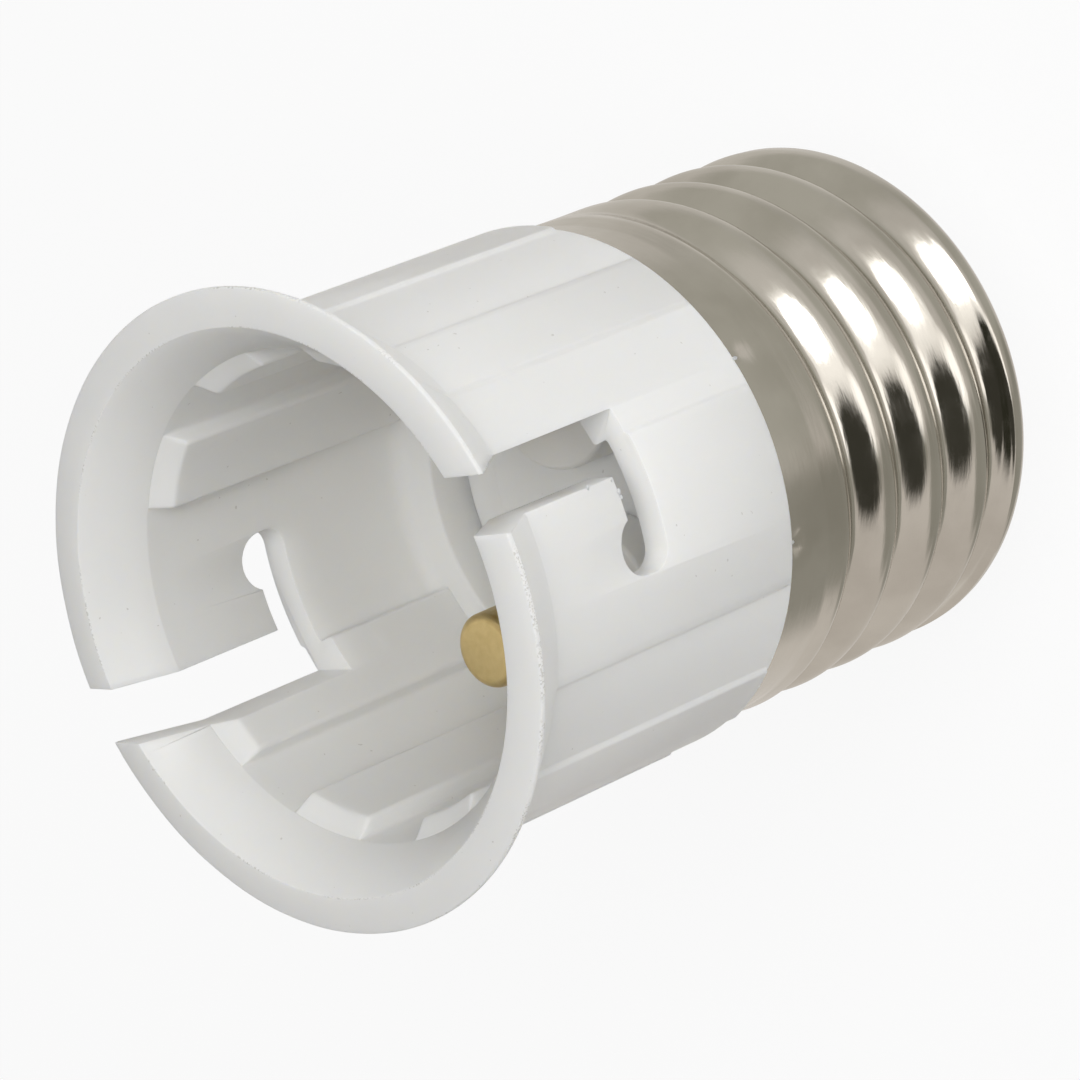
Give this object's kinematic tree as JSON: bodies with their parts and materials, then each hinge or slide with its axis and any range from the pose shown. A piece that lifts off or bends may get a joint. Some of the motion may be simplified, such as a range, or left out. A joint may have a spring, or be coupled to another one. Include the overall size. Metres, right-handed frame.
{
  "type": "lamp socket adapter",
  "caption": "Lamp socket adapter: a round-thread metal screw base carries a flared white bayonet cap socket with J slots and sprung brass contact plungers.",
  "frame": {"origin": "centre of the centre contact's flat face, at the tip of the screw end", "axes": "+Z along the axis from the screw end to the bayonet mouth; +X towards the right plunger; the bayonet seats lie on the Y axis"},
  "size_m": [0.0316, 0.0316, 0.048],
  "materials": {
    "white_plastic": "semi-gloss moulded",
    "brass": "turned, dull",
    "nickel_plate": "bright nickel plate on rolled sheet",
    "spring_steel": "drawn wire",
    "solder": "dull solder",
    "red_cover": "lead cover",
    "blue_cover": "lead cover"
  },
  "bodies": {
    "adapter": {"socket_body": "white_plastic", "contact_carrier": "white_plastic", "spring_right": "spring_steel", "spring_left": "spring_steel", "terminal_cap_right": "brass", "terminal_cap_left": "brass", "screw_shell": "nickel_plate", "tip_insulator": "white_plastic", "tip_contact": "nickel_plate", "shell_lead": "blue_cover", "tip_lead": "red_cover", "solder_beads": "solder"},
    "plunger_right": {"plunger_right": "brass"},
    "plunger_left": {"plunger_left": "brass"}
  },
  "joints": [
    {"name": "plunger_right_slide", "type": "slide", "parent": "adapter", "child": "plunger_right", "axis": [0, 0, -1], "range_m": [0, 0.006], "stiffness_N_per_m": 600, "springref_m": -0.003, "deforming": ["spring_right"]},
    {"name": "plunger_left_slide", "type": "slide", "parent": "adapter", "child": "plunger_left", "axis": [0, 0, -1], "range_m": [0, 0.006], "stiffness_N_per_m": 600, "springref_m": -0.003, "deforming": ["spring_left"]}
  ]
}
